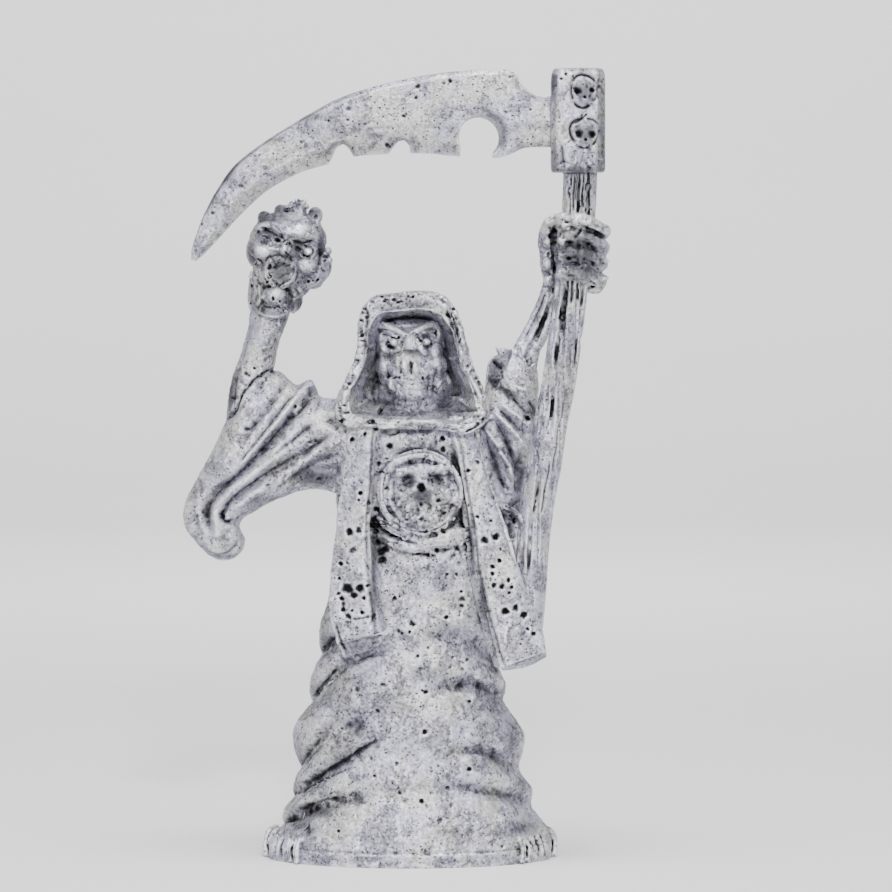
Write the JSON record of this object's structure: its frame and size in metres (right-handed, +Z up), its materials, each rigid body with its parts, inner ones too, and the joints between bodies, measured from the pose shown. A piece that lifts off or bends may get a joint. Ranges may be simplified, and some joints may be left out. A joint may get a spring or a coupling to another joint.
{
  "type": "wraith miniature",
  "caption": "Hooded wraith figure cast in one piece of white metal, holding up a notched scythe and a severed head, on a thin flat plate. A tabletop display figure that stands on its underside.",
  "frame": {"origin": "centre of the plate's flat underside", "axes": "+Z up along the figure, -Y the way the face looks, +X towards the scythe's haft (the viewer's right)"},
  "size_m": [0.024, 0.0111, 0.044],
  "materials": {
    "white_metal": "matte"
  },
  "bodies": {
    "root": {"wraith_casting": "white_metal"}
  },
  "joints": []
}
